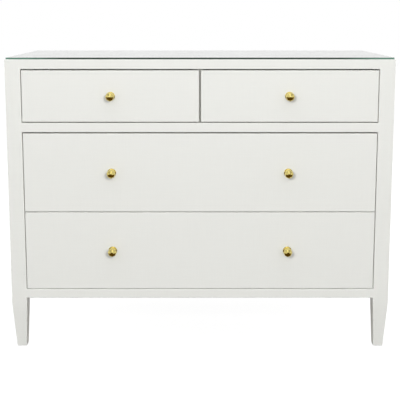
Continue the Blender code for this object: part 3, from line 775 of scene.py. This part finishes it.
def cageTree():
    # each point becomes a row of balls held by a strip
    tree, given, result = startTree(
        "ball cages", "GeometryNodeTree",
        {"Geometry": ("Geometry",), "Int": ("Balls",), "Material": ("Finish",),
         "Float": ("Pitch", "Ball Radius", "Strip Width", "Strip Thickness")},
        {"Geometry": ("Geometry",)})
    start = calc(tree, "MULTIPLY", calc(tree, "MULTIPLY_ADD", given["Balls"], -0.5, 0.5), given["Pitch"])
    line = addNode(tree, "GeometryNodeMeshLine", {"Count": given["Balls"],
                                                  "Start Location": vector(tree, 0.0, start, 0.0),
                                                  "Offset": vector(tree, 0.0, given["Pitch"], 0.0)})
    ball = addNode(tree, "GeometryNodeMeshUVSphere",
                   {"Segments": slideLook["ballSides"], "Rings": slideLook["ballRings"],
                    "Radius": given["Ball Radius"]})
    smooth = addNode(tree, "GeometryNodeSetShadeSmooth", {0: ball.outputs[0]})
    row = addNode(tree, "GeometryNodeInstanceOnPoints",
                  {"Points": line.outputs[0], "Instance": smooth.outputs[0]})
    length = calc(tree, "MULTIPLY", given["Balls"], given["Pitch"])
    strip = addNode(tree, "GeometryNodeMeshCube",
                    {"Size": vector(tree, given["Strip Width"], length, given["Strip Thickness"])})
    cage = addNode(tree, "GeometryNodeJoinGeometry")
    for part in (row.outputs[0], strip.outputs[0]):
        tree.links.new(part, cage.inputs[0])
    every = addNode(tree, "GeometryNodeInstanceOnPoints",
                    {"Points": given["Geometry"], "Instance": cage.outputs[0]})
    plain = addNode(tree, "GeometryNodeRealizeInstances", {0: every.outputs[0]})
    feed(tree, result["Geometry"], dressed(tree, plain.outputs[0], given["Finish"]))
    return tree


def makeSlides():
    tree = cageTree()
    values = {"Balls": slideLook["balls"], "Pitch": slideLook["pitch"],
              "Ball Radius": slideLook["ballRadius"], "Strip Width": slideLook["stripWidth"],
              "Strip Thickness": slideLook["strip"], "Finish": zinc}
    for drawer in drawers:
        body = f"{drawer}_slides"
        bm = bmesh.new()
        for side, sideName in bothSides:
            name = f"{drawer}_{sideName}_slide_middle_member"
            makeMiddleMember(name, side, body)
            low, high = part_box(name)
            x = high.x - slideLook["ballPlace"] if side > 0 else low.x + slideLook["ballPlace"]
            # the outer rows stay inside the case member at full reach, the inner rows inside the runner
            for row, share in zip(slideLook["rows"], slideLook["rowShares"]):
                y = low.y + (high.y - low.y) * share
                for way in (-1, 1):
                    bm.verts.new((x, y, (low.z + high.z) / 2 + way * row))
        cages = runTree(tree, meshFrom(bm), values)
        makePiece(label(drawer, "BallCages"), cages, [zinc], body)


makeSlides()
print("slides made")


# screws of the slides and of the back panel
screwLook = {"slideRadius": 0.0033, "slideDepth": 0.0008, "panelRadius": 0.0036, "panelDepth": 0.0014,
             "sides": 16, "crown": 0.72, "arm": 0.0019, "armWidth": 0.0008, "recess": 0.0006, "seed": 5,
             "runnerShares": (0.07, 0.42, 0.88), "dividerShares": (0.3, 0.7),
             "panelShares": (0.04, 0.19, 0.345, 0.5, 0.655, 0.81, 0.96)}


def screwTree():
    # a flat head with a cross, on each point, turned to the point's own facing
    tree, given, result = startTree(
        "screw heads", "GeometryNodeTree",
        {"Geometry": ("Geometry",), "Int": ("Seed",), "Material": ("Finish",),
         "Float": ("Radius", "Depth", "Crown", "Arm", "Arm Width", "Recess")},
        {"Geometry": ("Geometry",)})
    head = addNode(tree, "GeometryNodeMeshCone",
                   {"Vertices": screwLook["sides"], "Depth": given["Depth"], "Radius Bottom": given["Radius"],
                    "Radius Top": calc(tree, "MULTIPLY", given["Radius"], given["Crown"])})
    long, thin = calc(tree, "MULTIPLY", given["Arm"], 2.0), given["Arm Width"]
    deep = calc(tree, "MULTIPLY", given["Recess"], 2.0)
    cross = addNode(tree, "GeometryNodeMeshBoolean", {0: head.outputs[0]}, operation="DIFFERENCE",
                    solver="EXACT")
    cross.inputs["Self Intersection"].default_value = True
    for size in (vector(tree, long, thin, deep), vector(tree, thin, long, deep)):
        arm = addNode(tree, "GeometryNodeMeshCube", {"Size": size})
        raised = addNode(tree, "GeometryNodeTransform",
                         {"Geometry": arm.outputs[0], "Translation": vector(tree, 0.0, 0.0, given["Depth"])})
        tree.links.new(raised.outputs[0], cross.inputs["Mesh 2"])
    facing = addNode(tree, "GeometryNodeInputNamedAttribute", {"Name": "facing"},
                     data_type="FLOAT_VECTOR")
    aimed = addNode(tree, "FunctionNodeAlignRotationToVector", {"Vector": facing.outputs[0]}, axis="Z")
    spin = addNode(tree, "FunctionNodeRandomValue", data_type="FLOAT")
    for socket in spin.inputs:
        if socket.enabled and socket.name == "Max":
            socket.default_value = math.pi
        elif socket.enabled and socket.name == "Seed":
            tree.links.new(given["Seed"], socket)
    angle = [socket for socket in spin.outputs if socket.enabled][0]
    turn = addNode(tree, "FunctionNodeAxisAngleToRotation", {"Axis": (0.0, 0.0, 1.0), "Angle": angle})
    turned = addNode(tree, "FunctionNodeRotateRotation", {0: aimed.outputs[0], 1: turn.outputs[0]},
                     rotation_space="LOCAL")
    every = addNode(tree, "GeometryNodeInstanceOnPoints",
                    {"Points": given["Geometry"], "Instance": cross.outputs[0],
                     "Rotation": turned.outputs[0]})
    plain = addNode(tree, "GeometryNodeRealizeInstances", {0: every.outputs[0]})
    feed(tree, result["Geometry"], dressed(tree, plain.outputs[0], given["Finish"]))
    return tree


def addScrews(name, places, body, kind):
    # places come as pairs of a spot and the way its screw faces
    points = bpy.data.meshes.new("points")
    points.from_pydata([spot for spot, facing in places], [], [])
    facings = points.attributes.new("facing", "FLOAT_VECTOR", "POINT")
    for index, (spot, facing) in enumerate(places):
        facings.data[index].vector = facing
    values = {"Radius": screwLook[kind + "Radius"], "Depth": screwLook[kind + "Depth"],
              "Crown": screwLook["crown"], "Arm": screwLook["arm"], "Arm Width": screwLook["armWidth"],
              "Recess": screwLook["recess"], "Seed": screwLook["seed"], "Finish": zinc}
    makePiece(name, runTree(screwHeads, points, values), [zinc], body)


def share(pair, part):
    return pair[0] + (pair[1] - pair[0]) * part


def makeScrews():
    steel = slideLook["steel"]
    seats = []
    for drawer in drawers:
        runnerSeats = []
        for side, sideName in bothSides:
            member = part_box(f"{drawer}_{sideName}_slide_case_member")
            level = (member[0].z + member[1].z) / 2
            face = member[1].x - steel if side > 0 else member[0].x + steel
            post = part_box(f"front_{sideName}_leg")
            ys = [(member[0].y + post[1].y) / 2]        # over the post, then over the two battens
            for batten in (f"{sideName}_front_slide_batten", f"{sideName}_rear_slide_batten"):
                ys.append(share([corner.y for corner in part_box(batten)], 0.5))
            seats += [((face, y, level), (-side, 0, 0)) for y in ys]
            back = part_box(f"{drawer}_back")
            plane = back[1].x if side > 0 else back[0].x
            ends = (member[0].y, back[0].y)
            runnerSeats += [((plane + side * steel, share(ends, part), level), (side, 0, 0))
                            for part in screwLook["runnerShares"]]
        addScrews(label(drawer, "RunnerScrews"), runnerSeats, drawer, "slide")
    addScrews("slideScrews", seats, "case", "slide")
    low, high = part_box("back_panel")
    rows = [share([corner.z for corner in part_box(name)], 0.5) for name in ("bottom_panel", "dust_panel")]
    seats = [((share((low.x, high.x), part), high.y, z), (0, 1, 0))
             for z in rows for part in screwLook["panelShares"]]
    above = (rows[1], high.z)
    seats += [((0.0, high.y, share(above, part)), (0, 1, 0)) for part in screwLook["dividerShares"]]
    addScrews("backPanelScrews", seats, "case", "panel")


screwHeads = screwTree()
makeScrews()
print("screws made")


# looks of the solids that stay as they are
def paint(name, look):
    for spot in nodes[name].material_slots:
        spot.material = look


for name in nodes:
    if name.endswith(("_drawer_back", "_drawer_bottom")):
        paint(name, birchAlongX)
    elif name.endswith("case_member"):
        paint(name, zinc)
    elif name in ("bottom_panel", "dust_panel", "back_panel", "centre_divider") or name.endswith("batten"):
        paint(name, board)
print("solids painted")


# white floor and background, soft light, and the camera
studio = {"ambient": 0.60, "mirrored": 0.92, "floorGlow": 0.92, "floorShade": 0.17, "floorGrey": 0.34,
          "floorReach": 14, "front": 1.22,
          "frontStops": ((0.33, 1.0), (0.46, 0.42), (0.62, 0.42), (0.80, 0.66)),
          "card": (0.095, 0.055, 0.006, 1), "cardCorners": ((-8.0, -14.0), (8.0, 0.2)), "cardLevel": 0.004,
          "cardRoughness": 0.9}
lamps = {
    "topLight": {"place": (0.0, -0.6, 3.0), "aim": (0.0, 0.0, 0.5), "size": (2.6, 1.8), "watts": 17.5},
    "frontLight": {"place": (0.0, -3.8, 1.3), "aim": (0.0, -0.27, 0.5), "size": (2.6, 1.6), "watts": 20},
    "leftLight": {"place": (-2.8, 0.1, 1.5), "aim": (0.0, 0.0, 0.45), "size": (1.4, 1.6), "watts": 26},
    "rightLight": {"place": (2.8, 0.1, 1.5), "aim": (0.0, 0.0, 0.45), "size": (1.4, 1.6), "watts": 26},
    "backLight": {"place": (0.0, 3.2, 1.8), "aim": (0.0, 0.0, 0.45), "size": (2.4, 1.4), "watts": 34},
}
crossLight = {"place": (0.52, -2.45, 1.32), "watts": 69, "radius": 0.09, "cone": 86, "fade": 0.2,
              "low": 0.76}
shot = {"distance": 2.5, "height": 0.985, "lens": 78.6, "pitch": 8.67, "shift": -0.13}


def seenDirectly(tree):
    path = addNode(tree, "ShaderNodeLightPath").outputs
    return calc(tree, "MAXIMUM", calc(tree, "MAXIMUM", path["Is Camera Ray"], path["Is Glossy Ray"]),
                path["Is Transmission Ray"])


def makeWorld():
    world = bpy.data.worlds.new("studio")
    bpy.context.scene.world = world
    world.use_nodes = True
    tree = world.node_tree
    tree.nodes.clear()
    soft = addNode(tree, "ShaderNodeBackground",
                   {"Color": (1.0, 1.0, 1.0, 1), "Strength": studio["ambient"]})
    # reflections see a softer white, and in front a bright middle between two darker stripes
    isMirrored = addNode(tree, "ShaderNodeLightPath").outputs["Is Glossy Ray"]
    way = addNode(tree, "ShaderNodeTexCoord").outputs["Generated"]
    way = addNode(tree, "ShaderNodeSeparateXYZ", {0: way}).outputs
    stripes = addNode(tree, "ShaderNodeValToRGB", {0: calc(tree, "ABSOLUTE", way["X"])})
    stops = stripes.color_ramp.elements
    for index, (place, shade) in enumerate(studio["frontStops"]):
        stop = stops[index] if index < 2 else stops.new(place)
        stop.position = place
        stop.color = (shade, shade, shade, 1)
    front = calc(tree, "MULTIPLY", stripes.outputs[0], studio["front"])
    isFront = calc(tree, "LESS_THAN", way["Y"], 0.0)
    plain = studio["mirrored"]
    seen = calc(tree, "MULTIPLY_ADD", isFront, calc(tree, "SUBTRACT", front, plain), plain)
    level = calc(tree, "MULTIPLY_ADD", isMirrored, calc(tree, "SUBTRACT", seen, 1.0), 1.0)
    white = addNode(tree, "ShaderNodeBackground", {"Color": (1.0, 1.0, 1.0, 1), "Strength": level})
    mixed = addNode(tree, "ShaderNodeMixShader",
                    {0: seenDirectly(tree), 1: soft.outputs[0], 2: white.outputs[0]})
    addNode(tree, "ShaderNodeOutputWorld", {"Surface": mixed.outputs[0]})


def makeFlat(name, corners, level):
    (left, near), (right, far) = corners
    bm = bmesh.new()
    outline = ((left, near), (right, near), (right, far), (left, far))
    bm.faces.new([bm.verts.new((x, y, level)) for x, y in outline])
    sheet = linkNew(name, meshFrom(bm))
    return sheet


def makeFloor():
    reach = studio["floorReach"]
    floor = makeFlat("floor", ((-reach, -reach), (reach, reach)), 0.0)
    look, tree = startFinish("floor")[:2]
    plain = addNode(tree, "ShaderNodeBsdfDiffuse", {"Color": (*[studio["floorGrey"]] * 3, 1)})
    shaded = addNode(tree, "ShaderNodeBsdfDiffuse", {"Color": (*[studio["floorShade"]] * 3, 1)})
    glow = addNode(tree, "ShaderNodeEmission", {"Strength": studio["floorGlow"]})
    white = addNode(tree, "ShaderNodeAddShader", {0: shaded.outputs[0], 1: glow.outputs[0]})
    mixed = addNode(tree, "ShaderNodeMixShader",
                    {0: seenDirectly(tree), 1: plain.outputs[0], 2: white.outputs[0]})
    feed(tree, tree.nodes["Material Output"].inputs["Surface"], mixed.outputs[0])
    floor.data.materials.append(look)


def makeCard():
    # a dark card on the floor in front, which only reflections see, shapes the brass
    card = makeFlat("floorCard", studio["cardCorners"], studio["cardLevel"])
    card.data.materials.append(startFinish("dark card", Base_Color=studio["card"],
                                           Roughness=studio["cardRoughness"], Specular_IOR_Level=0.0)[0])
    card.visible_camera = card.visible_diffuse = card.visible_shadow = card.visible_transmission = False


def hideLamp(holder):
    # else the glass would show it, in its face or from inside
    holder.visible_camera = holder.visible_glossy = holder.visible_transmission = False


def makeLamps():
    for name, lamp in lamps.items():
        light = bpy.data.lights.new(name, "AREA")
        light.shape = "RECTANGLE"
        light.size, light.size_y = lamp["size"]
        light.energy = lamp["watts"]
        holder = linkNew(name, light)
        holder.location = lamp["place"]
        way = Vector(lamp["aim"]) - holder.location
        holder.rotation_euler = way.to_track_quat("-Z", "Y").to_euler()
        hideLamp(holder)


def makeCrossLights():
    # each lights the far half alone, so that every knob's shadow falls outwards, and it lights a
    # drawer's front alike wherever the drawer stands
    x, y, z = crossLight["place"]
    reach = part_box("lower_drawer_front")[0].y - y
    for name, side in (("crossLightLeft", -1), ("crossLightRight", 1)):
        light = bpy.data.lights.new(name, "SPOT")
        light.energy = crossLight["watts"]
        light.spot_size = math.radians(crossLight["cone"])
        light.shadow_soft_size = crossLight["radius"]
        light.use_nodes = True
        tree = light.node_tree
        ray = addNode(tree, "ShaderNodeTexCoord").outputs["Normal"]
        across, up, along = addNode(tree, "ShaderNodeSeparateXYZ", {0: ray}).outputs
        length = addNode(tree, "ShaderNodeLightPath").outputs["Ray Length"]
        litX = calc(tree, "MULTIPLY_ADD", across, length, side * x)
        litZ = calc(tree, "MULTIPLY_ADD", up, length, z)
        half = addNode(tree, "ShaderNodeMapRange", {"Value": litX, "From Min": side * crossLight["fade"],
                                                    "From Max": -side * crossLight["fade"]})
        fall = addNode(tree, "ShaderNodeMapRange", {"Value": litZ, "From Max": cadBox[1][2],
                                                    "To Min": crossLight["low"]})
        even = calc(tree, "DIVIDE", calc(tree, "POWER", calc(tree, "DIVIDE", length, reach), 2.0),
                    calc(tree, "ABSOLUTE", along))
        shaped = calc(tree, "MULTIPLY", calc(tree, "MULTIPLY", half.outputs[0], fall.outputs[0]), even)
        feed(tree, tree.nodes["Emission"].inputs["Strength"], shaped)
        holder = linkNew(name, light)
        holder.location = (side * x, y, z)
        holder.rotation_euler = (math.radians(90), 0.0, 0.0)
        hideLamp(holder)


def makeCamera():
    camera = linkNew("camera", bpy.data.cameras.new("camera"))
    camera.location = (0.0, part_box("lower_drawer_front")[0].y - shot["distance"], shot["height"])
    camera.rotation_euler = (math.radians(90 - shot["pitch"]), 0.0, 0.0)
    camera.data.lens = shot["lens"]
    camera.data.shift_y = shot["shift"]
    bpy.context.scene.camera = camera


makeWorld()
makeFloor()
makeCard()
makeLamps()
makeCrossLights()
makeCamera()
bpy.context.scene.view_settings.view_transform = "Standard"
print("studio made")

bpy.context.view_layer.update()
